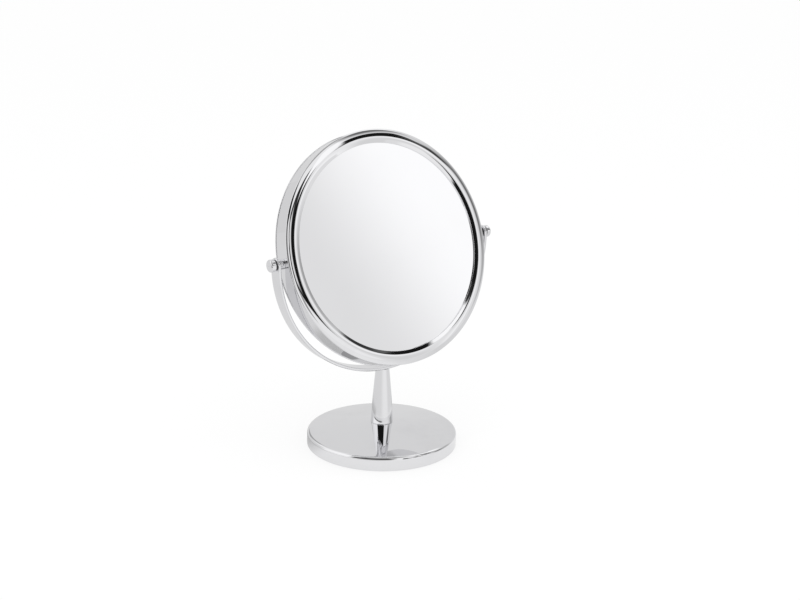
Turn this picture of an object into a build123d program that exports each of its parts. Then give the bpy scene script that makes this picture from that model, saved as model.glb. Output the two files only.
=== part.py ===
from build123d import *
import os
from math import cos, radians, sin, sqrt, tan

# A round double-sided cosmetic mirror on a pedestal, in millimetres.
# The origin is the centre of the base's underside. X runs along the tilt axis, the plain glass faces
# -Y and leans back, the magnifying glass is on the far side, and Z is up.

# Head: the drum, its two bezels and its two glasses
head_radius = 100.0
head_lean_angle = 19.0
pivot_height = 177.0
band_width = 15.6
band_wall = 1.2
band_step = 0.5
bezel_width = 11.9
bezel_crest_inset = 6.9
bezel_crest_round = 16.5
bezel_bevel_angle = 10.0
bezel_outer_drop = 1.95
bezel_edge_land = 0.7
bezel_edge_round = 0.4
bezel_wall = 1.2
bezel_flange_depth = 2.0
bezel_fit_clearance = 0.05
lip_thickness = 1.0
glass_overlap = 2.9
glass_clearance = 0.1
glass_collar_depth = 3.0
dish_radius = 700.0
dished_glass_thickness = 2.2
plain_glass_thickness = 2.0
board_thickness = 2.0
board_inset = 0.5
foam_width = 8.0

# Pivots: one knob-headed screw on each side, with its bush, washer, collar and nut
pivot_screw_radius = 2.0
pivot_running_clearance = 0.05
pivot_end_clearance = 0.1
pivot_loose_clearance = 0.1
knob_radius = 5.2
knob_length = 4.2
knob_edge_radius = 1.3
dimple_radius = 0.9
dimple_depth = 0.6
bush_wall = 1.0
bush_flange_radius = 4.2
bush_flange_thickness = 1.0
friction_washer_thickness = 0.8
collar_radius = 4.2
collar_edge_radius = 0.4
pivot_nut_flats = 7.0
pivot_nut_thickness = 3.2
pivot_screw_tail = 1.0

# Yoke: a half-round strap whose two ends stand just above the tilt axis
yoke_gap = 4.7
strap_thickness = 2.8
strap_width = 12.5
strap_edge_radius = 1.0
strap_end_rise = 6.0
spot_face_margin = 0.6
yoke_screw_radius = 2.0
yoke_screw_head_radius = 3.7
yoke_screw_sink = 0.05
countersink_angle = 90.0
recess_length = 4.0
recess_width = 1.0
recess_depth = 1.2

# Stem: a tapered column, a little fuller than a cone
stem_top_radius = 5.9
stem_foot_radius = 9.8
stem_bulge = 0.25
stem_foot_round = 0.4
thread_clearance = 0.05
bore_tail = 2.0
# Shares of the stem's length that the bolt below and the screw above thread into
bolt_thread_share = 0.3
yoke_screw_thread_share = 0.25

# Base: a shell with a nearly conical, slightly bowed top, over a weight and a pad, held by one bolt
base_radius = 65.5
base_wall_height = 12.0
dome_rise = 9.1
dome_bow = 0.5
base_edge_radius = 2.8
cover_thickness = 1.2
hem_height = 0.4
hem_radius = 0.8
pad_thickness = 2.4
pad_inset = 0.8
weight_inset = 1.3
weight_headroom = 0.5
weight_boss_radius = 13.0
bolt_recess_radius = 9.0
bolt_radius = 3.0
bolt_hole_clearance = 0.2
bolt_head_flats = 10.0
bolt_head_height = 4.0
bolt_head_gap = 0.8
washer_radius = 7.0
washer_thickness = 1.4
lock_washer_radius = 5.6
lock_washer_thickness = 1.6
lock_washer_slit = 0.8

# How far a cut runs past the surface that it breaks through
overrun = 1.0

# Sizes that follow from those above
band_radius = head_radius - band_step
band_inner_radius = band_radius - band_wall
band_edge = band_width / 2
bezel_spring = band_edge + bezel_edge_land
edge_spring = band_edge + bezel_edge_round
bezel_crest = bezel_spring + bezel_outer_drop
lip_radius = head_radius - bezel_width
crest_radius = head_radius - bezel_crest_inset
bevel = radians(bezel_bevel_angle)
bevel_radius = crest_radius - bezel_crest_round * sin(bevel)
bevel_top = bezel_crest - bezel_crest_round * (1 - cos(bevel))
lip_top = bevel_top - (bevel_radius - lip_radius) * tan(bevel)
lip_seat = lip_top - lip_thickness
glass_radius = lip_radius + glass_overlap
glass_collar_radius = glass_radius + glass_clearance
board_seat = lip_seat - plain_glass_thickness
foam_seat = board_seat - board_thickness
foam_outer_radius = glass_radius - board_inset
foam_inner_radius = foam_outer_radius - foam_width
dish_centre = -lip_seat - sqrt(dish_radius**2 - glass_radius**2)
yoke_inner_radius = head_radius + yoke_gap
yoke_outer_radius = yoke_inner_radius + strap_thickness
yoke_underside = pivot_height - yoke_outer_radius
collar_end = yoke_inner_radius - pivot_end_clearance - friction_washer_thickness
knob_seat = yoke_outer_radius + bush_flange_thickness + pivot_end_clearance
bush_bore = pivot_screw_radius + pivot_running_clearance
bush_radius = bush_bore + bush_wall
pivot_nut_corner = pivot_nut_flats / sqrt(3)
pivot_nut_seat = sqrt(band_inner_radius**2 - pivot_nut_corner**2)
pivot_screw_end = pivot_nut_seat - pivot_nut_thickness - pivot_screw_tail
yoke_screw_top = pivot_height - sqrt(yoke_inner_radius**2 - yoke_screw_head_radius**2)
dome_chord = sqrt(base_radius**2 + dome_rise**2)
dome_radius = (dome_chord**2 / 4 + dome_bow**2) / (2 * dome_bow)
dome_offset = base_radius / 2 - (dome_radius - dome_bow) * dome_rise / dome_chord
dome_centre = base_wall_height + dome_rise / 2 - (dome_radius - dome_bow) * base_radius / dome_chord
crown_height = base_wall_height + dome_rise
stem_length = yoke_underside - crown_height
yoke_screw_end = yoke_underside - yoke_screw_thread_share * stem_length
weight_radius = base_radius - cover_thickness - weight_inset
bolt_head_base = pad_thickness + bolt_head_gap
bolt_head_top = bolt_head_base + bolt_head_height
lock_washer_top = bolt_head_top + lock_washer_thickness
washer_top = lock_washer_top + washer_thickness
bolt_hole_radius = bolt_radius + bolt_hole_clearance
bolt_end = crown_height + bolt_thread_share * stem_length

# Planes and axes: sketch x is the radius and sketch y runs along the axis of the round piece
pivot_point = (0, 0, pivot_height)
lean = radians(head_lean_angle)
head_direction = Vector(0, -cos(lean), sin(lean))
head_axis = Axis(pivot_point, head_direction)
head_section = Plane(pivot_point, x_dir=(1, 0, 0), z_dir=Vector(1, 0, 0).cross(head_direction))
pivot_axis = Axis(pivot_point, (1, 0, 0))
pivot_face = Plane(pivot_point, x_dir=head_direction, z_dir=(1, 0, 0))
pivot_side = Plane(pivot_point, x_dir=(0, 1, 0), z_dir=(1, 0, 0))
yoke_face = Plane(pivot_point, x_dir=(1, 0, 0), z_dir=(0, -1, 0))

os.makedirs("parts", exist_ok=True)


def save(piece, label):
    """Label a finished piece and write it to its own file."""
    piece.part.label = label
    export_step(piece.part, f"parts/{label}.step")


def dome_height(radius, depth=0):
    """Height of the base's bowed top at a radius, or of the surface a depth below it."""
    return dome_centre + sqrt((dome_radius - depth)**2 - (radius - dome_offset)**2)


def dish_height(radius, depth=0):
    """Place along the head's axis of the dished glass's face, or of the surface a depth inside it."""
    return dish_centre + sqrt((dish_radius + depth)**2 - radius**2)


# Base cover: the outer wall and bowed top, and the same surfaces a sheet's thickness inside them
cover_inner_radius = base_radius - cover_thickness
cover_inner_edge_radius = base_edge_radius - cover_thickness
with BuildPart() as base_cover:
    with BuildSketch(Plane.XZ) as cover_section:
        with BuildLine():
            Line((cover_inner_radius, hem_height), (base_radius, hem_height))
            Line((base_radius, hem_height), (base_radius, base_wall_height))
            ThreePointArc(
                (base_radius, base_wall_height),
                (base_radius / 2, dome_height(base_radius / 2)),
                (bolt_hole_radius, dome_height(bolt_hole_radius)),
            )
            Line(
                (bolt_hole_radius, dome_height(bolt_hole_radius)),
                (bolt_hole_radius, dome_height(bolt_hole_radius, cover_thickness)),
            )
            ThreePointArc(
                (bolt_hole_radius, dome_height(bolt_hole_radius, cover_thickness)),
                (base_radius / 2, dome_height(base_radius / 2, cover_thickness)),
                (cover_inner_radius, dome_height(cover_inner_radius, cover_thickness)),
            )
            Line(
                (cover_inner_radius, dome_height(cover_inner_radius, cover_thickness)),
                (cover_inner_radius, hem_height),
            )
        make_face()
        fillet(cover_section.vertices().group_by(Axis.X)[1].sort_by(Axis.Y)[-1], cover_inner_edge_radius)
        fillet(cover_section.vertices().group_by(Axis.X)[-1].sort_by(Axis.Y)[-1], base_edge_radius)
        fillet(cover_section.vertices().group_by(Axis.X)[-1].sort_by(Axis.Y)[0], hem_radius)
    revolve(axis=Axis.Z)
save(base_cover, "base_cover")

# Base weight: a cast disc with a boss that reaches up to the inside of the cover's crown
weight_top = dome_height(weight_radius, cover_thickness) - weight_headroom
with BuildPart() as base_weight:
    with BuildSketch(Plane.XZ):
        with BuildLine():
            Polyline(
                (bolt_hole_radius, dome_height(bolt_hole_radius, cover_thickness)),
                (bolt_hole_radius, washer_top),
                (bolt_recess_radius, washer_top),
                (bolt_recess_radius, pad_thickness),
                (weight_radius, pad_thickness),
                (weight_radius, weight_top),
                (weight_boss_radius, weight_top),
                (weight_boss_radius, dome_height(weight_boss_radius, cover_thickness)),
            )
            ThreePointArc(
                (weight_boss_radius, dome_height(weight_boss_radius, cover_thickness)),
                (bolt_recess_radius, dome_height(bolt_recess_radius, cover_thickness)),
                (bolt_hole_radius, dome_height(bolt_hole_radius, cover_thickness)),
            )
        make_face()
    revolve(axis=Axis.Z)
save(base_weight, "base_weight")

# Base pad: a foam disc glued under the weight, which is what the mirror stands on
with BuildPart() as base_pad:
    with BuildSketch(Plane.XY):
        Circle(cover_inner_radius - pad_inset)
    extrude(amount=pad_thickness)
save(base_pad, "base_pad")

# Base bolt: a hexagon head in the weight's recess, and a shank up into the stem
with BuildPart() as base_bolt:
    with BuildSketch(Plane.XY.offset(bolt_head_base)):
        RegularPolygon(bolt_head_flats / 2, 6, major_radius=False)
    extrude(amount=bolt_head_height)
    with BuildSketch(Plane.XY.offset(bolt_head_top)):
        Circle(bolt_radius)
    extrude(amount=bolt_end - bolt_head_top)
save(base_bolt, "base_bolt")

# Lock washer: a ring with a slit, on the bolt's head
with BuildPart() as base_lock_washer:
    with BuildSketch(Plane.XY.offset(bolt_head_top)):
        Circle(lock_washer_radius)
        Circle(bolt_hole_radius, mode=Mode.SUBTRACT)
        Rectangle(
            2 * lock_washer_radius,
            lock_washer_slit,
            align=(Align.MIN, Align.CENTER),
            mode=Mode.SUBTRACT,
        )
    extrude(amount=lock_washer_thickness)
save(base_lock_washer, "base_lock_washer")

# Flat washer: between the lock washer and the weight
with BuildPart() as base_washer:
    with BuildSketch(Plane.XY.offset(lock_washer_top)):
        Circle(washer_radius)
        Circle(bolt_hole_radius, mode=Mode.SUBTRACT)
    extrude(amount=washer_thickness)
save(base_washer, "base_washer")

# Stem: its foot is hollowed to sit on the cover, and its top is cut to cradle the strap
with BuildPart() as stem:
    with BuildSketch(Plane.XZ) as stem_section:
        with BuildLine():
            Line((0, crown_height), (0, yoke_underside + overrun))
            Line((0, yoke_underside + overrun), (stem_top_radius, yoke_underside + overrun))
            SagittaArc(
                (stem_top_radius, yoke_underside + overrun),
                (stem_foot_radius, dome_height(stem_foot_radius)),
                -stem_bulge,
            )
            ThreePointArc(
                (stem_foot_radius, dome_height(stem_foot_radius)),
                (stem_foot_radius / 2, dome_height(stem_foot_radius / 2)),
                (0, crown_height),
            )
        make_face()
        fillet(stem_section.vertices().sort_by(Axis.X)[-1], stem_foot_round)
    revolve(axis=Axis.Z)
    with BuildSketch(yoke_face):
        Circle(yoke_outer_radius)
    extrude(amount=stem_foot_radius, both=True, mode=Mode.SUBTRACT)
    with BuildSketch(Plane.XY.offset(crown_height - overrun)):
        Circle(bolt_radius + thread_clearance)
    extrude(amount=overrun + bolt_end - crown_height + bore_tail, mode=Mode.SUBTRACT)
    with BuildSketch(Plane.XY.offset(yoke_screw_end - bore_tail)):
        Circle(yoke_screw_radius + thread_clearance)
    extrude(amount=bore_tail + yoke_screw_top - yoke_screw_end, mode=Mode.SUBTRACT)
save(stem, "stem")

# Yoke: a half ring with short upright ends, rounded over, with an eye in each end
with BuildPart() as yoke:
    with BuildSketch(yoke_face):
        with BuildLine():
            Polyline(
                (yoke_inner_radius, 0),
                (yoke_inner_radius, strap_end_rise),
                (yoke_outer_radius, strap_end_rise),
                (yoke_outer_radius, 0),
            )
            ThreePointArc((yoke_outer_radius, 0), (0, -yoke_outer_radius), (-yoke_outer_radius, 0))
            Polyline(
                (-yoke_outer_radius, 0),
                (-yoke_outer_radius, strap_end_rise),
                (-yoke_inner_radius, strap_end_rise),
                (-yoke_inner_radius, 0),
            )
            ThreePointArc((-yoke_inner_radius, 0), (0, -yoke_inner_radius), (yoke_inner_radius, 0))
        make_face()
    extrude(amount=strap_width / 2, both=True)
    with BuildSketch(pivot_side):
        with Locations((0, strap_end_rise - strap_width / 2)):
            Circle(strap_width / 2)
            Rectangle(strap_width, 2 * yoke_outer_radius, align=(Align.CENTER, Align.MAX))
    extrude(amount=2 * yoke_outer_radius, both=True, mode=Mode.INTERSECT)
    fillet(yoke.edges().filter_by(Axis.Y, reverse=True), strap_edge_radius)
    with BuildSketch(pivot_side):
        Circle(collar_radius + spot_face_margin)
    extrude(amount=yoke_inner_radius, both=True, mode=Mode.SUBTRACT)
    with BuildSketch(pivot_side):
        Circle(bush_radius)
    extrude(amount=yoke_outer_radius + overrun, both=True, mode=Mode.SUBTRACT)
    with Locations((0, 0, yoke_screw_top)):
        CounterSinkHole(
            yoke_screw_radius + thread_clearance,
            yoke_screw_head_radius,
            strap_thickness + overrun,
            counter_sink_angle=countersink_angle,
        )
save(yoke, "yoke")

# Yoke screw: countersunk, driven down from inside the yoke into the stem
with BuildPart() as yoke_screw:
    head_top = yoke_screw_top - yoke_screw_sink
    cone_slope = tan(radians(countersink_angle / 2))
    head_radius_at_top = yoke_screw_head_radius - yoke_screw_sink * cone_slope
    cone_depth = (head_radius_at_top - yoke_screw_radius) / cone_slope
    with BuildSketch(Plane.XZ):
        with BuildLine():
            Polyline(
                (0, head_top),
                (head_radius_at_top, head_top),
                (yoke_screw_radius, head_top - cone_depth),
                (yoke_screw_radius, yoke_screw_end),
                (0, yoke_screw_end),
                close=True,
            )
        make_face()
    revolve(axis=Axis.Z)
    with BuildSketch(Plane.XY.offset(head_top)):
        Rectangle(recess_length, recess_width)
        Rectangle(recess_width, recess_length)
    extrude(amount=-recess_depth, mode=Mode.SUBTRACT)
save(yoke_screw, "yoke_screw")

# Drum band: a rolled ring with a hole for each pivot screw
with BuildPart() as drum_band:
    with BuildSketch(head_section):
        with Locations((band_inner_radius, 0)):
            Rectangle(band_wall, band_width, align=(Align.MIN, Align.CENTER))
    revolve(axis=head_axis)
    with BuildSketch(pivot_face):
        Circle(pivot_screw_radius + pivot_loose_clearance)
    extrude(amount=band_radius + overrun, both=True, mode=Mode.SUBTRACT)
save(drum_band, "drum_band")

# Bezels: convex rings with a rolled edge, a bevelled lip, a flange in the band and a collar round the glass
flange_radius = band_inner_radius - bezel_fit_clearance
flange_inner_radius = flange_radius - bezel_wall
collar_outer_radius = glass_collar_radius + bezel_wall
quarter_turn = 90
for label, facing in (("front_bezel", 1), ("rear_bezel", -1)):
    with BuildPart() as bezel:
        with BuildSketch(head_section):
            with BuildLine():
                Polyline(
                    (lip_radius, facing * lip_seat),
                    (lip_radius, facing * lip_top),
                    (bevel_radius, facing * bevel_top),
                )
                RadiusArc(
                    (bevel_radius, facing * bevel_top),
                    (crest_radius, facing * bezel_crest),
                    facing * bezel_crest_round,
                )
                EllipticalCenterArc(
                    (crest_radius, facing * bezel_spring),
                    bezel_crest_inset,
                    bezel_outer_drop,
                    start_angle=facing * quarter_turn,
                    arc_size=-facing * quarter_turn,
                )
                Line((head_radius, facing * bezel_spring), (head_radius, facing * edge_spring))
                RadiusArc(
                    (head_radius, facing * edge_spring),
                    (head_radius - bezel_edge_round, facing * band_edge),
                    facing * bezel_edge_round,
                )
                Polyline(
                    (head_radius - bezel_edge_round, facing * band_edge),
                    (flange_radius, facing * band_edge),
                    (flange_radius, facing * (band_edge - bezel_flange_depth)),
                    (flange_inner_radius, facing * (band_edge - bezel_flange_depth)),
                    (flange_inner_radius, facing * lip_seat),
                    (collar_outer_radius, facing * lip_seat),
                    (collar_outer_radius, facing * (lip_seat - glass_collar_depth)),
                    (glass_collar_radius, facing * (lip_seat - glass_collar_depth)),
                    (glass_collar_radius, facing * lip_seat),
                    (lip_radius, facing * lip_seat),
                )
            make_face()
        revolve(axis=head_axis)
    save(bezel, label)

# Front glass: a plain flat disc against the front bezel's lip
with BuildPart() as front_glass:
    with BuildSketch(head_section):
        with Locations((0, lip_seat)):
            Rectangle(glass_radius, plain_glass_thickness, align=(Align.MIN, Align.MAX))
    revolve(axis=head_axis)
save(front_glass, "front_glass")

# Backing board: a disc behind the plain glass
with BuildPart() as backing_board:
    with BuildSketch(head_section):
        with Locations((0, board_seat)):
            Rectangle(foam_outer_radius, board_thickness, align=(Align.MIN, Align.MAX))
    revolve(axis=head_axis)
save(backing_board, "backing_board")

# Rear glass: a dished disc of even thickness, which magnifies
with BuildPart() as rear_glass:
    with BuildSketch(head_section):
        with BuildLine():
            ThreePointArc(
                (0, dish_height(0)),
                (glass_radius / 2, dish_height(glass_radius / 2)),
                (glass_radius, dish_height(glass_radius)),
            )
            Line(
                (glass_radius, dish_height(glass_radius)),
                (glass_radius, dish_height(glass_radius, dished_glass_thickness)),
            )
            ThreePointArc(
                (glass_radius, dish_height(glass_radius, dished_glass_thickness)),
                (glass_radius / 2, dish_height(glass_radius / 2, dished_glass_thickness)),
                (0, dish_height(0, dished_glass_thickness)),
            )
            Line((0, dish_height(0, dished_glass_thickness)), (0, dish_height(0)))
        make_face()
    revolve(axis=head_axis)
save(rear_glass, "rear_glass")

# Foam ring: fills the room between the board and the back of the dished glass at its rim
foam_middle_radius = (foam_inner_radius + foam_outer_radius) / 2
with BuildPart() as foam_ring:
    with BuildSketch(head_section):
        with BuildLine():
            Polyline(
                (foam_inner_radius, dish_height(foam_inner_radius, dished_glass_thickness)),
                (foam_inner_radius, foam_seat),
                (foam_outer_radius, foam_seat),
                (foam_outer_radius, dish_height(foam_outer_radius, dished_glass_thickness)),
            )
            ThreePointArc(
                (foam_outer_radius, dish_height(foam_outer_radius, dished_glass_thickness)),
                (foam_middle_radius, dish_height(foam_middle_radius, dished_glass_thickness)),
                (foam_inner_radius, dish_height(foam_inner_radius, dished_glass_thickness)),
            )
        make_face()
    revolve(axis=head_axis)
save(foam_ring, "foam_ring")

# Pivot hardware, the same on both sides: sketch x runs out along the pivot, sketch y is the radius
loose_bore = pivot_screw_radius + pivot_loose_clearance
for side, outward in (("left", -1), ("right", 1)):
    pivot_section = Plane(pivot_point, x_dir=(outward, 0, 0), z_dir=(0, -outward, 0))

    # Pivot screw: a round knob with a centre dimple, and a shank through to the nut
    with BuildPart() as pivot_screw:
        with BuildSketch(pivot_section):
            with BuildLine():
                Polyline(
                    (pivot_screw_end, 0),
                    (pivot_screw_end, pivot_screw_radius),
                    (knob_seat, pivot_screw_radius),
                    (knob_seat, knob_radius),
                    (knob_seat + knob_length - knob_edge_radius, knob_radius),
                )
                RadiusArc(
                    (knob_seat + knob_length - knob_edge_radius, knob_radius),
                    (knob_seat + knob_length, knob_radius - knob_edge_radius),
                    knob_edge_radius,
                )
                Polyline(
                    (knob_seat + knob_length, knob_radius - knob_edge_radius),
                    (knob_seat + knob_length, dimple_radius),
                    (knob_seat + knob_length - dimple_depth, 0),
                    (pivot_screw_end, 0),
                )
            make_face()
        revolve(axis=pivot_axis)
    save(pivot_screw, f"{side}_pivot_screw")

    # Bush: a sleeve in the yoke's eye, with a flange between the strap and the knob
    with BuildPart() as bush:
        with BuildSketch(pivot_section):
            with BuildLine():
                Polyline(
                    (yoke_inner_radius, bush_bore),
                    (yoke_inner_radius, bush_radius),
                    (yoke_outer_radius, bush_radius),
                    (yoke_outer_radius, bush_flange_radius),
                    (yoke_outer_radius + bush_flange_thickness, bush_flange_radius),
                    (yoke_outer_radius + bush_flange_thickness, bush_bore),
                    close=True,
                )
            make_face()
        revolve(axis=pivot_axis)
    save(bush, f"{side}_bush")

    # Friction washer: runs against the inner face of the yoke's end
    with BuildPart() as friction_washer:
        with BuildSketch(pivot_section):
            with Locations((collar_end, loose_bore)):
                Rectangle(
                    friction_washer_thickness,
                    collar_radius - loose_bore,
                    align=(Align.MIN, Align.MIN),
                )
        revolve(axis=pivot_axis)
    save(friction_washer, f"{side}_friction_washer")

    # Collar: keeps the drum clear of the yoke
    with BuildPart() as collar:
        with BuildSketch(pivot_section):
            with Locations((band_radius, loose_bore)):
                Rectangle(
                    collar_end - band_radius,
                    collar_radius - loose_bore,
                    align=(Align.MIN, Align.MIN),
                )
        revolve(axis=pivot_axis)
        outer_end = collar.edges().filter_by(GeomType.CIRCLE).group_by(SortBy.RADIUS)[-1]
        fillet(outer_end, collar_edge_radius)
    save(collar, f"{side}_collar")

    # Pivot nut: its two corners bear on the inside of the curved band
    with BuildPart() as pivot_nut:
        with BuildSketch(pivot_face.offset(outward * pivot_nut_seat)):
            RegularPolygon(pivot_nut_corner, 6, rotation=90)
            Circle(pivot_screw_radius + thread_clearance, mode=Mode.SUBTRACT)
        extrude(amount=-outward * pivot_nut_thickness)
    save(pivot_nut, f"{side}_pivot_nut")
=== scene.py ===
import bmesh
import bpy
from math import atan2, cos, degrees, pi, radians, sin, sqrt, tan
from mathutils import Matrix, Vector


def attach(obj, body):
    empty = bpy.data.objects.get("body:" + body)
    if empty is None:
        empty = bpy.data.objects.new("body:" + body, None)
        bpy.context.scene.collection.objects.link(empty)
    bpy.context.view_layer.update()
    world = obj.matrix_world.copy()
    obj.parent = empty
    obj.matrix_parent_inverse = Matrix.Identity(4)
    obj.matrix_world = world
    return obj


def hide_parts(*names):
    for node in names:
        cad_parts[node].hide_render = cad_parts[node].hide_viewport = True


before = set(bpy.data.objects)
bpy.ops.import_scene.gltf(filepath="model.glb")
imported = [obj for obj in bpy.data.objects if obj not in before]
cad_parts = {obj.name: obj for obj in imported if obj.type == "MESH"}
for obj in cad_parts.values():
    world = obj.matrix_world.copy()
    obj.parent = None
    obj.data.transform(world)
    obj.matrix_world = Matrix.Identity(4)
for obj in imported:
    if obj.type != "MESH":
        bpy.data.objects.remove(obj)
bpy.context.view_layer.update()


# Base cover: a shallow cone with an upright wall, pressed from sheet steel, polished and chromed. It
# drops over the weight, and the stem's bolt clamps it at its crown. Sizes are in millimetres.
base_radius = 65.5
base_wall_height = 12.0
dome_rise = 9.1
dome_bow = 0.5
base_edge_round = 2.8
cover_thickness = 1.2
hem_height = 0.4
hem_round = 0.55
bolt_hole_radius = 3.2
dome_steps = 36
turning_steps = 192
dome_chord = sqrt(base_radius**2 + dome_rise**2)
dome_radius = (dome_chord**2 / 4 + dome_bow**2) / (2 * dome_bow)
dome_offset = base_radius / 2 - (dome_radius - dome_bow) * dome_rise / dome_chord
dome_centre = base_wall_height + dome_rise / 2 - (dome_radius - dome_bow) * base_radius / dome_chord
millimetre = 0.001
corner_facets = 6
corner_support_share = 1.25
sharp_edge_angle = radians(32)
on_axis = 1e-6


def dome_height(radius, depth=0.0):
    """Height of the base's slightly bowed top at a radius, or of the surface a depth below it."""
    return dome_centre + sqrt((dome_radius - depth)**2 - (radius - dome_offset)**2)


def dome_line(start, end, depth=0.0):
    """Plain corners along the base's top from one radius to another."""
    radii = [start + (end - start) * step / dome_steps for step in range(dome_steps + 1)]
    return [(radius, dome_height(radius, depth), 0) for radius in radii]


def rounded(corners):
    """A closed outline through corners of (radius, height, rounding), each softened by its arc."""
    outline = []
    for index, (across, up, rounding) in enumerate(corners):
        here = Vector((across, up))
        if not rounding:
            outline.append(here)
            continue
        back = (Vector(corners[index - 1][:2]) - here).normalized()
        ahead = (Vector(corners[(index + 1) % len(corners)][:2]) - here).normalized()
        half_angle = back.angle(ahead) / 2
        reach = rounding / tan(half_angle)
        middle = here + (back + ahead).normalized() * rounding / sin(half_angle)
        first = here + back * reach - middle
        last = here + ahead * reach - middle
        start = atan2(first.y, first.x)
        sweep = (atan2(last.y, last.x) - start + pi) % (2 * pi) - pi
        outline.append(here + back * reach * corner_support_share)
        for facet in range(corner_facets + 1):
            turn = start + sweep * facet / corner_facets
            outline.append(middle + rounding * Vector((cos(turn), sin(turn))))
        outline.append(here + ahead * reach * corner_support_share)
    return outline


def finished(name, shape):
    """A smooth object, sharp only at its real corners, made from a finished mesh."""
    bmesh.ops.recalc_face_normals(shape, faces=shape.faces)
    mesh = bpy.data.meshes.new(name)
    shape.to_mesh(mesh)
    shape.free()
    mesh.shade_smooth()
    mesh.set_sharp_from_angle(angle=sharp_edge_angle)
    piece = bpy.data.objects.new(name, mesh)
    bpy.context.scene.collection.objects.link(piece)
    return piece


def turned(name, outline, place=Matrix.Identity(4), steps=turning_steps):
    """A piece turned about an axis from its closed outline of (radius, height) points."""
    shape = bmesh.new()
    rings = []
    for radius, height in outline:
        if radius < on_axis:
            pole = shape.verts.new(place @ (millimetre * Vector((0, 0, height))))
            rings.append([pole] * steps)
            continue
        ring = []
        for step in range(steps):
            turn = 2 * pi * step / steps
            point = Vector((radius * cos(turn), radius * sin(turn), height))
            ring.append(shape.verts.new(place @ (millimetre * point)))
        rings.append(ring)
    for lower, upper in zip(rings, rings[1:] + rings[:1]):
        for step in range(steps):
            ahead = (step + 1) % steps
            corners = dict.fromkeys((lower[step], lower[ahead], upper[ahead], upper[step]))
            if len(corners) > 2:
                shape.faces.new(corners)
    return finished(name, shape)


def fit(piece, node, body, finish):
    """Put a finished piece in place of its CAD node, on the body that carries it."""
    piece.data.materials.append(finish)
    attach(piece, body)
    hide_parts(node)


class Wire:
    """A socket in a node tree. Sums of wires add Math nodes, and node() adds any other node."""

    def __init__(self, tree, socket=None):
        self.tree = tree
        self.socket = socket

    def node(self, kind, settings, inputs, output=0):
        """Add a node of a type, set it up, feed its sockets and return the wire that leaves it."""
        added = self.tree.nodes.new(kind)
        for setting, value in settings.items():
            setattr(added, setting, value)
        for name, value in inputs.items():
            if isinstance(value, Wire):
                self.tree.links.new(value.socket, added.inputs[name])
            else:
                added.inputs[name].default_value = value
        return Wire(self.tree, added.outputs[output] if added.outputs else None)

    def maths(self, operation, first, second):
        """One Math node on two numbers or wires."""
        return self.node("ShaderNodeMath", {"operation": operation}, {0: first, 1: second})

    def __add__(self, other):
        return self.maths("ADD", self, other)

    def __radd__(self, other):
        return self.maths("ADD", other, self)

    def __rsub__(self, other):
        return self.maths("SUBTRACT", other, self)

    def __mul__(self, other):
        return self.maths("MULTIPLY", self, other)

    def __rmul__(self, other):
        return self.maths("MULTIPLY", other, self)

    def rise(self, low, high):
        """A number that goes smoothly from 0 to 1 as this one goes from low to high."""
        span = {"Value": self, "From Min": low, "From Max": high}
        return self.node("ShaderNodeMapRange", {"interpolation_type": "SMOOTHSTEP"}, span)

    def between(self, low, high):
        """A colour that goes from low to high as this number goes from 0 to 1."""
        # The Mix node keeps its colour sockets behind those for numbers and vectors
        return self.node("ShaderNodeMix", {"data_type": "RGBA"}, {0: self, 6: low, 7: high}, 2)

    def noise(self, scale, detail=3.0, roughness=0.5):
        """Cloudy noise over these coordinates, with so many lumps to the metre."""
        inputs = {"Vector": self, "Scale": scale, "Detail": detail, "Roughness": roughness}
        return self.node("ShaderNodeTexNoise", {}, inputs)

    def stretched(self, along_x, along_y, along_z):
        """These coordinates, scaled along each axis."""
        return self.node("ShaderNodeMapping", {}, {"Vector": self, "Scale": (along_x, along_y, along_z)})

    def bump(self, strength, depth):
        """A surface normal that follows this height, with its deepest dent in metres."""
        inputs = {"Height": self, "Strength": strength, "Distance": depth}
        return self.node("ShaderNodeBump", {}, inputs)


def new_finish(name):
    """An empty material, and the wire that carries a piece's own coordinates into it."""
    finish = bpy.data.materials.new(name)
    finish.use_nodes = True
    finish.node_tree.nodes.clear()
    return finish, Wire(finish.node_tree).node("ShaderNodeTexCoord", {}, {}, "Object")


def surface(place, inputs):
    """End a material in one principled surface."""
    shader = place.node("ShaderNodeBsdfPrincipled", {}, inputs)
    place.node("ShaderNodeOutputMaterial", {}, {"Surface": shader})


bright_plate = (0.80, 0.80, 0.814, 1)
dull_plate = (0.76, 0.76, 0.774, 1)
chrome, place = new_finish("polished_chrome")
haze = place.noise(scale=24, detail=5, roughness=0.6).rise(0.45, 0.75)
hairlines = place.stretched(1, 1, 18).noise(scale=260, detail=2).rise(0.62, 0.75)
ripple = place.noise(scale=140, detail=2)
surface(place, {
    "Base Color": haze.between(bright_plate, dull_plate),
    "Metallic": 1.0,
    "Roughness": 0.014 + 0.02 * haze + 0.014 * hairlines,
    "Normal": ripple.bump(strength=0.035, depth=0.0002),
})

cover_inner_radius = base_radius - cover_thickness
inner_edge_round = base_edge_round - cover_thickness
base_cover = turned("base_shell", rounded([
    (cover_inner_radius, hem_height, hem_round),
    (base_radius, hem_height, hem_round),
    (base_radius, base_wall_height, base_edge_round),
    *dome_line(base_radius - 2 * base_edge_round, bolt_hole_radius),
    *dome_line(bolt_hole_radius, cover_inner_radius - 2 * inner_edge_round, cover_thickness),
    (cover_inner_radius, dome_height(cover_inner_radius, cover_thickness), inner_edge_round),
]))
fit(base_cover, "base_cover", "stand", chrome)


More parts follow.
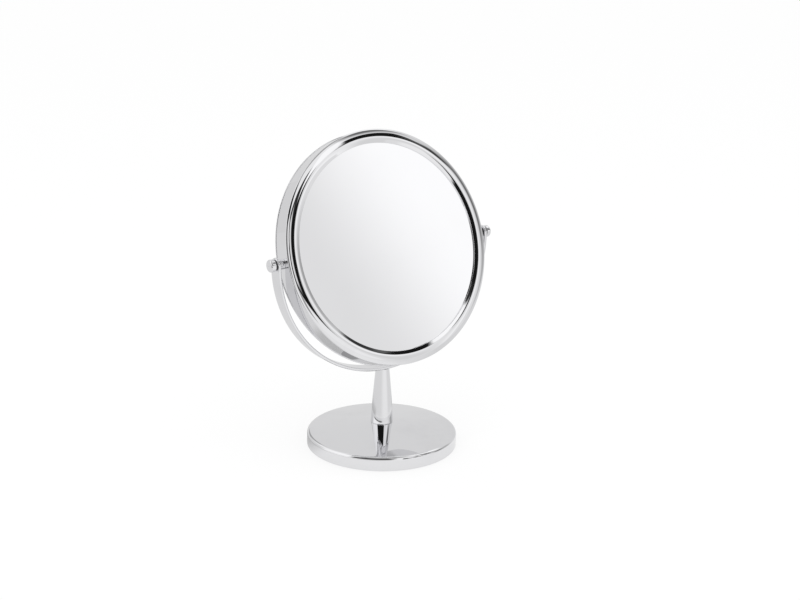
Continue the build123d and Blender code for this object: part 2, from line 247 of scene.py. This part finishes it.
# Base weight: a rough iron casting inside the cover, with a boss up to the crown. It keeps its CAD
# shape, and only its finish is made here: grey-black sand-cast skin with a trace of rust.
cast_grey = (0.045, 0.045, 0.047, 1)
rust_brown = (0.11, 0.05, 0.028, 1)
cast_iron, place = new_finish("sand_cast_iron")
rust = place.noise(scale=90, detail=6, roughness=0.65).rise(0.55, 0.8)
grain = place.noise(scale=1400, detail=4, roughness=0.7)
surface(place, {
    "Base Color": rust.between(cast_grey, rust_brown),
    "Metallic": 1 - rust,
    "Roughness": 0.55 + 0.3 * grain,
    "Normal": grain.bump(strength=0.5, depth=0.0004),
})


def refinish(node, finish):
    """Give a CAD node that keeps its shape a finish of its own."""
    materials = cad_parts[node].data.materials
    materials.clear()
    materials.append(finish)


refinish("base_weight", cast_iron)


# Base pad: a disc of black closed-cell foam glued under the weight, which is what stands on the
# table. Its lower edge is pressed round and its skin is pitted with fine cells.
pad_inset = 0.8
pad_thickness = 2.4
pad_edge_round = 0.7
pad_bulge = 0.25
pad_black = (0.018, 0.018, 0.019, 1)
pad_grey = (0.05, 0.05, 0.052, 1)
pad_radius = cover_inner_radius - pad_inset
base_pad = turned("base_foam_pad", rounded([
    (0, 0, 0),
    (pad_radius - pad_bulge, 0, pad_edge_round),
    (pad_radius, pad_thickness / 2, 0),
    (pad_radius - pad_bulge, pad_thickness, 0),
    (0, pad_thickness, 0),
]))
pad_foam, place = new_finish("black_cell_foam")
cells = place.node("ShaderNodeTexVoronoi", {}, {"Vector": place, "Scale": 1500.0})
dust = place.noise(scale=60, detail=4, roughness=0.6).rise(0.4, 0.8)
surface(place, {
    "Base Color": dust.between(pad_black, pad_grey),
    "Roughness": 0.8 + 0.18 * cells,
    "Normal": cells.bump(strength=0.6, depth=0.0003),
})
fit(base_pad, "base_pad", "stand", pad_foam)


# Base bolt and its washers: zinc-plated steel, sunk in the weight's recess under the pad. They keep
# their CAD shapes and get the bluish, slightly blotchy look of bright zinc.
zinc_blue = (0.52, 0.54, 0.57, 1)
zinc_straw = (0.56, 0.54, 0.48, 1)
zinc, place = new_finish("bright_zinc")
blotches = place.noise(scale=220, detail=4, roughness=0.6)
tool_marks = place.stretched(1, 1, 12).noise(scale=900, detail=2)
surface(place, {
    "Base Color": blotches.rise(0.35, 0.7).between(zinc_blue, zinc_straw),
    "Metallic": 1.0,
    "Roughness": 0.24 + 0.18 * blotches,
    "Normal": tool_marks.bump(strength=0.15, depth=0.0001),
})
for node in ("base_bolt", "base_lock_washer", "base_washer"):
    refinish(node, zinc)


# Stem: a tapered column turned from steel bar, a little fuller than a cone, polished and chromed.
# Its foot is hollowed to sit on the base, and its top is cut to cradle the strap of the yoke.
stem_top_radius = 5.9
stem_foot_radius = 9.8
stem_bulge = 0.25
stem_foot_round = 0.4
stem_rim_round = 0.2
stem_steps = 30
stem_turning_steps = 128
foot_steps = 4
pivot_height = 177.0
yoke_outer_radius = 107.5
stem_top = pivot_height - yoke_outer_radius
stem_foot = dome_height(stem_foot_radius)


def stem_side(share):
    """A plain corner on the stem's side, a share of the way up it."""
    taper = stem_foot_radius + (stem_top_radius - stem_foot_radius) * share
    return (taper + stem_bulge * 4 * share * (1 - share), stem_foot + (stem_top - stem_foot) * share, 0)


foot_radii = [stem_foot_radius * step / foot_steps for step in range(foot_steps)]
stem = turned("tapered_stem", rounded([
    *((radius, dome_height(radius), 0) for radius in foot_radii),
    (stem_foot_radius, stem_foot, stem_foot_round),
    *(stem_side(step / stem_steps) for step in range(1, stem_steps)),
    (stem_top_radius, stem_top, stem_rim_round),
    (stem_top_radius / 2, stem_top, 0),
    (0, stem_top, 0),
]), steps=stem_turning_steps)
rim_level = (stem_top - stem_rim_round) * millimetre
for vertex in stem.data.vertices:
    if vertex.co.z > rim_level:
        across = vertex.co.x / millimetre
        cradle = yoke_outer_radius - sqrt(yoke_outer_radius**2 - across**2)
        vertex.co.z += cradle * millimetre
fit(stem, "stem", "stand", chrome)


# Yoke: a flat steel strap bent to a half ring, its edges eased and its two ends rounded over, then
# chromed. Each end is bored for a bush, and one screw holds the middle down on the stem.
strap_thickness = 2.8
strap_width = 12.5
strap_edge_round = 1.0
strap_edge_facets = 6
strap_support = 0.2
strap_end_rise = 6.0
strap_steps = 220
strap_end_facets = 14
bore_turning_steps = 64
bush_radius = 3.05
yoke_screw_radius = 2.05
yoke_screw_head_radius = 3.7
strap_middle_radius = yoke_outer_radius - strap_thickness / 2
quarter_run = strap_middle_radius * pi / 2


def on_strap(run, across, out):
    """A point of the strap: along it from its middle, across its width and out through it."""
    radius = strap_middle_radius + out
    side = 1 if run > 0 else -1
    bend = min(abs(run), quarter_run) / strap_middle_radius
    straight = max(abs(run) - quarter_run, 0)
    return millimetre * Vector((
        side * radius * sin(bend),
        across,
        pivot_height - radius * cos(bend) + straight,
    ))


def strap_edge(inset):
    """Half the strap's outline from tip to tip, drawn in by an inset, as (run, across) points."""
    half_width = strap_width / 2 - inset
    end_middle = quarter_run + strap_end_rise - strap_width / 2
    end_turns = [pi / 2 * step / strap_end_facets for step in range(strap_end_facets)]
    end = [(end_middle + half_width * cos(turn), half_width * sin(turn)) for turn in end_turns]
    runs = [end_middle * (1 - 2 * step / strap_steps) for step in range(strap_steps + 1)]
    far_end = [(-run, across) for run, across in reversed(end)]
    return end + [(run, half_width) for run in runs] + far_end


half_thickness = strap_thickness / 2
strap_layers = [(half_thickness, strap_edge_round + strap_support)]
for facet in range(strap_edge_facets + 1):
    turn = pi / 2 * facet / strap_edge_facets
    out = half_thickness - strap_edge_round * (1 - cos(turn))
    strap_layers.append((out, strap_edge_round * (1 - sin(turn))))
strap_layers.append((half_thickness - strap_edge_round - strap_support, 0))
strap_layers += [(-out, inset) for out, inset in reversed(strap_layers)]
shape = bmesh.new()
loops = []
for out, inset in strap_layers:
    near_edge = strap_edge(inset)
    far_edge = [(run, -across) for run, across in reversed(near_edge[1:-1])]
    loops.append([shape.verts.new(on_strap(run, across, out)) for run, across in near_edge + far_edge])
loop_size = len(loops[0])
for outer, inner in zip(loops, loops[1:]):
    for index in range(loop_size):
        ahead = (index + 1) % loop_size
        shape.faces.new((outer[index], outer[ahead], inner[ahead], inner[index]))
for face in (loops[0], loops[-1]):
    for index in range(loop_size // 2):
        corners = (face[index], face[index + 1], face[-index - 1], face[-index])
        shape.faces.new(dict.fromkeys(corners))
yoke = finished("strap_yoke", shape)


def bored(piece, *cutters):
    """Cut the bores that the cutters fill out of a piece, and clear the cutters away."""
    for cutter in cutters:
        bore = piece.modifiers.new(cutter.name, "BOOLEAN")
        bore.object = cutter
    bpy.context.view_layer.update()
    whole = piece.evaluated_get(bpy.context.evaluated_depsgraph_get())
    piece.data = bpy.data.meshes.new_from_object(whole)
    piece.modifiers.clear()
    for cutter in cutters:
        bpy.data.objects.remove(cutter)
    piece.data.set_sharp_from_angle(angle=sharp_edge_angle)


def drill(name, radius, start, end, place):
    """A plain cutter for a round bore along an axis."""
    outline = [(0, start), (radius, start), (radius, end), (0, end)]
    return turned(name, outline, place, bore_turning_steps)


pivot_middle = Matrix.Translation((0, 0, pivot_height * millimetre))
right_pivot = pivot_middle @ Matrix.Rotation(pi / 2, 4, "Y")
left_pivot = pivot_middle @ Matrix.Rotation(-pi / 2, 4, "Y")
screw_top = pivot_height - sqrt((yoke_outer_radius - strap_thickness)**2 - yoke_screw_head_radius**2)
countersink = turned("countersink", [
    (0, stem_top - strap_thickness),
    (yoke_screw_radius, stem_top - strap_thickness),
    (yoke_screw_radius, screw_top - yoke_screw_head_radius + yoke_screw_radius),
    (yoke_screw_head_radius + strap_thickness, screw_top + strap_thickness),
    (0, screw_top + strap_thickness),
], steps=bore_turning_steps)
eye_start = yoke_outer_radius - 2 * strap_thickness
eye_end = yoke_outer_radius + strap_thickness
bored(
    yoke,
    drill("right_eye", bush_radius, eye_start, eye_end, right_pivot),
    drill("left_eye", bush_radius, eye_start, eye_end, left_pivot),
    countersink,
)
fit(yoke, "yoke", "stand", chrome)


# Yoke screw: a countersunk zinc-plated screw, driven down from inside the yoke into the stem. It
# keeps its CAD shape with its cross recess.
refinish("yoke_screw", zinc)


# Bushes: flanged sleeves of black nylon pressed into the yoke's eyes. Each flange keeps a knob off
# the strap, and shows as a dark neck.
bush_bore = 2.05
bush_flange_radius = 4.2
bush_flange_thickness = 1.0
bush_round = 0.2
nylon_black = (0.012, 0.012, 0.013, 1)
nylon_worn = (0.03, 0.03, 0.031, 1)
nylon, place = new_finish("black_nylon")
moulding = place.noise(scale=900, detail=3, roughness=0.6)
surface(place, {
    "Base Color": moulding.rise(0.5, 0.8).between(nylon_black, nylon_worn),
    "Roughness": 0.36 + 0.2 * moulding,
    "Normal": moulding.bump(strength=0.12, depth=0.0001),
})
yoke_inner_radius = yoke_outer_radius - strap_thickness
bush_outline = rounded([
    (bush_bore, yoke_inner_radius, 0),
    (bush_radius, yoke_inner_radius, 0),
    (bush_radius, yoke_outer_radius, 0),
    (bush_flange_radius, yoke_outer_radius, bush_round),
    (bush_flange_radius, yoke_outer_radius + bush_flange_thickness, bush_round),
    (bush_bore, yoke_outer_radius + bush_flange_thickness, 0),
])
sides = {"left": left_pivot, "right": right_pivot}
for side, pivot in sides.items():
    bush = turned(f"{side}_nylon_bush", bush_outline, pivot, bore_turning_steps)
    fit(bush, f"{side}_bush", "stand", nylon)


# Drum band: a strip of steel rolled to a ring and welded, polished and chromed, which is the side of
# the head. It is bored at each side for a pivot screw.
head_lean = radians(19)
head_radius = 100.0
band_radius = 99.5
band_wall = 1.2
band_width = 15.6
band_edge_round = 0.25
pivot_bore = 2.1
head_steps = 288
head = pivot_middle @ Matrix.Rotation(pi / 2 - head_lean, 4, "X")
band_inner_radius = band_radius - band_wall
band_edge = band_width / 2
drum_band = turned("drum_side_band", rounded([
    (band_inner_radius, -band_edge, 0),
    (band_radius, -band_edge, band_edge_round),
    (band_radius, band_edge, band_edge_round),
    (band_inner_radius, band_edge, 0),
]), head, head_steps)
bored(
    drum_band,
    drill("right_bore", pivot_bore, band_inner_radius - band_wall, head_radius, right_pivot),
    drill("left_bore", pivot_bore, band_inner_radius - band_wall, head_radius, left_pivot),
)
fit(drum_band, "drum_band", "head", chrome)


# Bezels: two convex rings pressed from brass sheet and chromed, one on each face. A flange springs
# into the band, a bevelled lip holds the glass, and a collar behind the lip centres it.
bezel_width = 11.9
bezel_crest_inset = 6.9
bezel_outer_drop = 1.95
bezel_edge_land = 0.7
bezel_edge_round = 0.4
bezel_wall = 1.2
bevel = radians(10)
crest_round = 16.5
bezel_flange_depth = 2.0
bezel_fit_clearance = 0.05
lip_thickness = 1.0
lip_round = 0.25
glass_overlap = 2.9
glass_clearance = 0.1
glass_collar_depth = 3.0
bezel_facets = 20
bezel_spring = band_edge + bezel_edge_land
bezel_crest = bezel_spring + bezel_outer_drop
lip_radius = head_radius - bezel_width
crest_radius = head_radius - bezel_crest_inset
bevel_radius = crest_radius - crest_round * sin(bevel)
bevel_top = bezel_crest - crest_round * (1 - cos(bevel))
lip_top = bevel_top - (bevel_radius - lip_radius) * tan(bevel)
lip_seat = lip_top - lip_thickness
glass_radius = lip_radius + glass_overlap
glass_collar_radius = glass_radius + glass_clearance
flange_radius = band_inner_radius - bezel_fit_clearance
inner_turns = [bevel * (1 - step / bezel_facets) for step in range(bezel_facets)]
outer_turns = [pi / 2 * step / bezel_facets for step in range(bezel_facets + 1)]
bezel_outline = rounded([
    (lip_radius, lip_seat, 0),
    (lip_radius, lip_top, lip_round),
    *(
        (crest_radius - crest_round * sin(turn), bezel_crest - crest_round * (1 - cos(turn)), 0)
        for turn in inner_turns
    ),
    *(
        (crest_radius + bezel_crest_inset * sin(turn), bezel_spring + bezel_outer_drop * cos(turn), 0)
        for turn in outer_turns
    ),
    (head_radius, band_edge, bezel_edge_round),
    (flange_radius, band_edge, 0),
    (flange_radius, band_edge - bezel_flange_depth, 0),
    (flange_radius - bezel_wall, band_edge - bezel_flange_depth, 0),
    (flange_radius - bezel_wall, lip_seat, 0),
    (glass_collar_radius + bezel_wall, lip_seat, 0),
    (glass_collar_radius + bezel_wall, lip_seat - glass_collar_depth, 0),
    (glass_collar_radius, lip_seat - glass_collar_depth, 0),
    (glass_collar_radius, lip_seat, 0),
])
head_back = head @ Matrix.Rotation(pi, 4, "X")
for side, face in {"front": head, "rear": head_back}.items():
    bezel = turned(f"{side}_ring_bezel", bezel_outline, face, head_steps)
    fit(bezel, f"{side}_bezel", "head", chrome)


# Glasses: the front one is plain, and the rear one is dished and magnifies. Both are float glass with
# ground edges, silvered behind and sealed with grey paint.
dish_radius = 700.0
dished_thickness = 2.2
plain_thickness = 2.0
ground_edge = 0.3
glass_rings = 40
faces_out = 0.5
silver_clear = (0.90, 0.90, 0.915, 1)
silver_dusty = (0.875, 0.875, 0.89, 1)
silver, place = new_finish("silvered_glass")
breath = place.noise(scale=14, detail=4, roughness=0.55).rise(0.42, 0.8)
specks = place.noise(scale=1900, detail=1).rise(0.76, 0.82)
surface(place, {
    "Base Color": (breath * 0.6 + specks * 0.4).between(silver_clear, silver_dusty),
    "Metallic": 1.0,
    "Roughness": 0.006 + 0.012 * breath + 0.05 * specks,
    "Coat Weight": 0.4,
    "Coat Roughness": 0.01,
})
paint_grey = (0.16, 0.175, 0.18, 1)
paint_pale = (0.23, 0.24, 0.245, 1)
sealing_paint, place = new_finish("grey_sealing_paint")
streaks = place.stretched(1, 14, 1).noise(scale=60, detail=4, roughness=0.6)
surface(place, {
    "Base Color": streaks.between(paint_grey, paint_pale),
    "Roughness": 0.5 + 0.2 * streaks,
    "Normal": streaks.bump(strength=0.1, depth=0.0001),
})


def dish_depth(radius, behind=0.0):
    """Height of the dished glass's front along the head's axis, or of the surface behind it."""
    rim_level = lip_seat + sqrt(dish_radius**2 - glass_radius**2)
    return rim_level - sqrt((dish_radius + behind)**2 - radius**2)


ground_radius = glass_radius - ground_edge
radii = [ground_radius * ring / glass_rings for ring in range(glass_rings + 1)]
plain_back = lip_seat - plain_thickness
plain_outline = [(radius, lip_seat) for radius in radii]
plain_outline += [(glass_radius, lip_seat - ground_edge), (glass_radius, plain_back + ground_edge)]
plain_outline += [(radius, plain_back) for radius in reversed(radii)]
dished_outline = [(radius, dish_depth(radius)) for radius in radii]
dished_outline += [(glass_radius, dish_depth(glass_radius) - ground_edge)]
dished_outline += [(glass_radius, dish_depth(glass_radius, dished_thickness) + ground_edge)]
dished_outline += [(radius, dish_depth(radius, dished_thickness)) for radius in reversed(radii)]
for side, face, outline in (("front", head, plain_outline), ("rear", head_back, dished_outline)):
    glass = turned(f"{side}_mirror_glass", outline, face, head_steps)
    fit(glass, f"{side}_glass", "head", silver)
    glass.data.materials.append(sealing_paint)
    outward = face.to_3x3() @ Vector((0, 0, 1))
    for polygon in glass.data.polygons:
        polygon.material_index = 0 if polygon.normal.dot(outward) > faces_out else 1


# Backing board and foam ring: pressed grey-brown board behind the plain glass, and an open-cell foam
# ring on it that pushes both glasses out against their lips. Both are shut inside the drum.
board_thickness = 2.0
board_inset = 0.5
foam_width = 8.0
foam_bulge = 0.3
board_brown = (0.20, 0.145, 0.09, 1)
board_pale = (0.31, 0.24, 0.165, 1)
board, place = new_finish("pressed_board")
fibres = place.stretched(1, 7, 7).noise(scale=320, detail=5, roughness=0.7)
surface(place, {
    "Base Color": fibres.between(board_brown, board_pale),
    "Roughness": 0.75 + 0.2 * fibres,
    "Normal": fibres.bump(strength=0.3, depth=0.0002),
})
refinish("backing_board", board)
foam_dark = (0.09, 0.09, 0.095, 1)
foam_light = (0.20, 0.20, 0.205, 1)
foam, place = new_finish("grey_open_foam")
pores = place.node("ShaderNodeTexVoronoi", {}, {"Vector": place, "Scale": 900.0})
surface(place, {
    "Base Color": pores.between(foam_dark, foam_light),
    "Roughness": 0.85 + 0.1 * pores,
    "Normal": pores.bump(strength=0.8, depth=0.0006),
})
foam_outer = glass_radius - board_inset
foam_inner = foam_outer - foam_width
foam_seat = plain_thickness + board_thickness - lip_seat
foam_ring = turned("soft_foam_ring", [
    (foam_inner, dish_depth(foam_inner, dished_thickness)),
    (foam_inner + foam_bulge, (foam_seat + dish_depth(foam_inner, dished_thickness)) / 2),
    (foam_inner, foam_seat),
    (foam_outer, foam_seat),
    (foam_outer - foam_bulge, (foam_seat + dish_depth(foam_outer, dished_thickness)) / 2),
    (foam_outer, dish_depth(foam_outer, dished_thickness)),
], head_back)
fit(foam_ring, "foam_ring", "head", foam)


# Pivot screws: turned steel, chromed, with a round knob head that has a centre dimple. Each runs
# through its bush and collar into a nut inside the band, and turns with the head.
pivot_screw_radius = 2.0
pivot_screw_end = 94.0
knob_seat = 108.6
knob_radius = 5.2
knob_length = 4.2
knob_round = 1.3
knob_heel_round = 0.35
dimple_radius = 0.9
dimple_depth = 0.6
dimple_round = 0.25
knob_turning_steps = 96
knob_face = knob_seat + knob_length
screw_outline = rounded([
    (0, pivot_screw_end, 0),
    (pivot_screw_radius, pivot_screw_end, dimple_round),
    (pivot_screw_radius, knob_seat, 0),
    (knob_radius, knob_seat, knob_heel_round),
    (knob_radius, knob_face, knob_round),
    (dimple_radius, knob_face, dimple_round),
    (0, knob_face - dimple_depth, 0),
])
for side, pivot in sides.items():
    pivot_screw = turned(f"{side}_knob_screw", screw_outline, pivot, knob_turning_steps)
    fit(pivot_screw, f"{side}_pivot_screw", "head", chrome)


# Collars, friction washers and nuts: on each screw a chromed spacer keeps the drum off the yoke, a
# nylon washer rubs on the strap, and a zinc-plated nut, left as in the CAD, pulls them tight.
collar_radius = 4.2
collar_round = 0.4
washer_round = 0.15
collar_end = 103.8
washer_end = 104.6
collar_outline = rounded([
    (pivot_bore, band_radius, 0),
    (collar_radius, band_radius, collar_round),
    (collar_radius, collar_end, collar_round),
    (pivot_bore, collar_end, 0),
])
washer_outline = rounded([
    (pivot_bore, collar_end, 0),
    (collar_radius, collar_end, washer_round),
    (collar_radius, washer_end, washer_round),
    (pivot_bore, washer_end, 0),
])
for side, pivot in sides.items():
    collar = turned(f"{side}_spacer_collar", collar_outline, pivot, knob_turning_steps)
    fit(collar, f"{side}_collar", "head", chrome)
    washer = turned(f"{side}_nylon_washer", washer_outline, pivot, knob_turning_steps)
    fit(washer, f"{side}_friction_washer", "head", nylon)
    refinish(f"{side}_pivot_nut", zinc)


# Studio: a white floor in a tent of white and grey sheets, with one large soft lamp overhead. The dark
# gaps between the sheets draw the black lines on the polished metal. To polished metal and glass the
# floor shows painted light and shade. Angles are in degrees.
floor_reach = 12.0
floor_glow_share = 0.8
floor_colour = (0.95, 0.95, 0.95, 1)
# Floor colours that glossy rays see: grey at the sides, painted light in front and near the base, a
# painted shadow behind the base and painted dark far out on the camera's side
floor_near_painted_light = (0.92, 0.92, 0.92, 1)
floor_side = (0.75, 0.75, 0.75, 1)
floor_front_painted_light = (0.93, 0.93, 0.93, 1)
floor_painted_shadow = (0.48, 0.48, 0.48, 1)
floor_painted_dark = (0.02, 0.02, 0.02, 1)
# Where each painted tone of the floor fades: bearings in degrees, distances in metres
floor_front_left = (-60, -10)
floor_front_right = (15, 45)
floor_near_light_reach = (0.09, 0.13)
floor_shadow_start = (0, 0.05)
floor_shadow_reach = (0.11, 0.16)
floor_dark_left = (-130, -110)
floor_dark_right = (-45, -25)
floor_dark_reach = (0.55, 0.8)
tent_white = (1, 1, 1, 1)
bpy.ops.mesh.primitive_plane_add(size=2 * floor_reach)
floor = bpy.context.object
floor.name = "studio_floor"
floor_white, place = new_finish("white_floor")
matt = place.node("ShaderNodeBsdfDiffuse", {}, {"Color": floor_colour})
direct_ray = place.node("ShaderNodeLightPath", {}, {}, "Is Camera Ray")
shiny_ray = place.node("ShaderNodeLightPath", {}, {}, "Is Glossy Ray")
across, back = (place.node("ShaderNodeSeparateXYZ", {}, {"Vector": place}, axis) for axis in ("X", "Y"))
bearing = across.maths("ARCTAN2", across, 0 - back) * degrees(1)
distance = across.maths("POWER", across * across + back * back, 0.5)
# Painted reflection: glossy rays see the floor lighter in front and near the base, as if light pooled
# there
painted_front_light = bearing.rise(*floor_front_left) * (1 - bearing.rise(*floor_front_right))
floor_painted_reflection = painted_front_light.between(floor_side, floor_front_painted_light)
floor_painted_reflection = distance.rise(*floor_near_light_reach).between(floor_near_painted_light, floor_painted_reflection)
# Painted shadow: the floor just behind the base is darker to glossy rays, as if the head's shadow lay
# there
behind = back.rise(*floor_shadow_start) * (1 - distance.rise(*floor_shadow_reach))
floor_painted_reflection = behind.between(floor_painted_reflection, floor_painted_shadow)
# Painted dark reflection: far out on the camera's side the floor turns nearly black to glossy rays
painted_dark_mask = bearing.rise(*floor_dark_left) * (1 - bearing.rise(*floor_dark_right))
painted_dark_mask = painted_dark_mask * distance.rise(*floor_dark_reach)
floor_painted_reflection = painted_dark_mask.between(floor_painted_reflection, floor_painted_dark)
glow = place.node("ShaderNodeEmission", {}, {"Color": direct_ray.between(floor_painted_reflection, tent_white)})
glowing = floor_glow_share * (direct_ray + shiny_ray)
lit = place.node("ShaderNodeMixShader", {}, {0: glowing, 1: matt, 2: glow})
place.node("ShaderNodeOutputMaterial", {}, {"Surface": lit})
floor.data.materials.append(floor_white)

world = bpy.data.worlds.new("white_tent")
bpy.context.scene.world = world
world.use_nodes = True
world.node_tree.nodes.clear()
place = Wire(world.node_tree).node("ShaderNodeTexCoord", {}, {}, "Generated")
across, back, height = (
    place.node("ShaderNodeSeparateXYZ", {}, {"Vector": place}, axis) for axis in ("X", "Y", "Z")
)
azimuth = across.maths("ARCTAN2", across, 0 - back) * degrees(1)
elevation = height.maths("ARCSINE", height, 0) * degrees(1)


def tent_patch(left, right, bottom, top, softness):
    """A mask that is 1 between two azimuths and two elevations, with soft edges."""
    inside = azimuth.rise(left - softness, left + softness)
    inside = inside * (1 - azimuth.rise(right - softness, right + softness))
    inside = inside * elevation.rise(bottom - softness, bottom + softness)
    return inside * (1 - elevation.rise(top - softness, top + softness))


# Each sheet or gap: its grey level, its left and right, its bottom and top, and how soft its edge is
tent_sheets = {
    "roof": (0.40, -190, 190, 66, 99, 6),
    "backdrop": (0.79, 84, 190, -20, 52, 8),
    "back gap": (0.42, 159.5, 190, 16, 38, 1.5),
    "left back": (0.76, -190, -135, -20, 28, 8),
    "left lamp": (1.15, -138, -90, 26, 60, 6),
    "low left": (1.15, -130, -70, -6, 9, 5),
    "right wing": (0.50, 50, 88, -8, 31, 8),
    "wing gap": (0.18, 53, 68, 10, 25, 4),
    "right lamp": (1.20, 62, 128, 44, 70, 5),
    "upper shade": (0.16, 37, 72, 37.5, 60.5, 8),
    "upper lamp": (1.18, 25.5, 35, 24.5, 45, 1.5),
    "camera side": (0.20, -82, -18, 8, 66, 6),
    "camera gap": (0.01, -88, -8, 37, 55, 2.5),
    "frame head": (0.03, -0.5, 25, 23, 35, 0.5),
    "left frame": (0.01, -2.3, 31.8, 12, 25.2, 0.6),
    "frame foot": (0.35, -4, 9, 4, 12, 1.5),
    "left window": (0.82, 6.3, 16.3, 15, 30, 1.5),
    "upper gap": (0.01, 35, 48.9, 22.2, 33.4, 0.8),
    "corner gap": (0.13, 43.5, 55.8, 21.7, 27.5, 1),
    "corner slit": (0.04, 45.5, 51, 22.2, 25.5, 0.8),
    "front sheet": (0.88, 29.4, 47, -20, 16.8, 0.8),
}
tent = tent_white
for level, left, right, bottom, top, softness in tent_sheets.values():
    tent = tent_patch(left, right, bottom, top, softness).between(tent, (level, level, level, 1))
front_dim = (0.80, 0.80, 0.80, 1)
front_bright = (1.08, 1.08, 1.08, 1)
fade_slope = 0.25
fade_reach = (37, 42.8)
fade_patch = (31.9, 41, 2, 21.9, 0.4)
front_fade = (azimuth + fade_slope * elevation).rise(*fade_reach).between(front_dim, front_bright)
tent = tent_patch(*fade_patch).between(tent, front_fade)
shiny_ray = place.node("ShaderNodeLightPath", {}, {}, "Is Glossy Ray")
sky = place.node("ShaderNodeBackground", {}, {"Color": shiny_ray.between(tent_white, tent)})
place.node("ShaderNodeOutputWorld", {}, {"Surface": sky})

lamp_power = 10.0
lamp_size = 2.0
lamp_place = (-0.4, -0.8, 2.4)
lamp_light = bpy.data.lights.new("overhead_lamp", "AREA")
lamp_light.energy = lamp_power
lamp_light.size = lamp_size
lamp = bpy.data.objects.new("overhead_lamp", lamp_light)
lamp.location = lamp_place
lamp.visible_glossy = False
bpy.context.scene.collection.objects.link(lamp)
bpy.context.scene.view_settings.view_transform = "Standard"


# Camera: a plain lens at the photograph's viewpoint, turned a little about its own axis. Its focal
# length and the place it aims at are in pixels of a frame 800 wide and 600 high.
look_height = 0.151
camera_azimuth = radians(-35.323)
camera_elevation = radians(15.719)
camera_distance = 1.18922
camera_roll = radians(0.78)
focal_pixels = 1396.0
image_width = 800
sensor_width = 36.0
aim_right_pixels = 16.27
aim_down_pixels = 22.84
towards_camera = Vector((
    sin(camera_azimuth) * cos(camera_elevation),
    -cos(camera_azimuth) * cos(camera_elevation),
    sin(camera_elevation),
))
right = Vector((cos(camera_azimuth), sin(camera_azimuth), 0))
up = towards_camera.cross(right)
rolled_right = cos(camera_roll) * right + sin(camera_roll) * up
rolled_up = cos(camera_roll) * up - sin(camera_roll) * right
pixel = camera_distance / focal_pixels
aim = pixel * (aim_right_pixels * rolled_right - aim_down_pixels * rolled_up)
backward = (camera_distance * towards_camera - aim).normalized()
across = rolled_up.cross(backward).normalized()
turned_to = Matrix((across, backward.cross(across), backward)).transposed()
lens = bpy.data.cameras.new("studio_camera")
lens.sensor_width = sensor_width
lens.lens = focal_pixels / image_width * sensor_width
camera = bpy.data.objects.new("studio_camera", lens)
bpy.context.scene.collection.objects.link(camera)
camera_place = Vector((0, 0, look_height)) + camera_distance * towards_camera
camera.matrix_world = Matrix.Translation(camera_place) @ turned_to.to_4x4()
bpy.context.scene.camera = camera
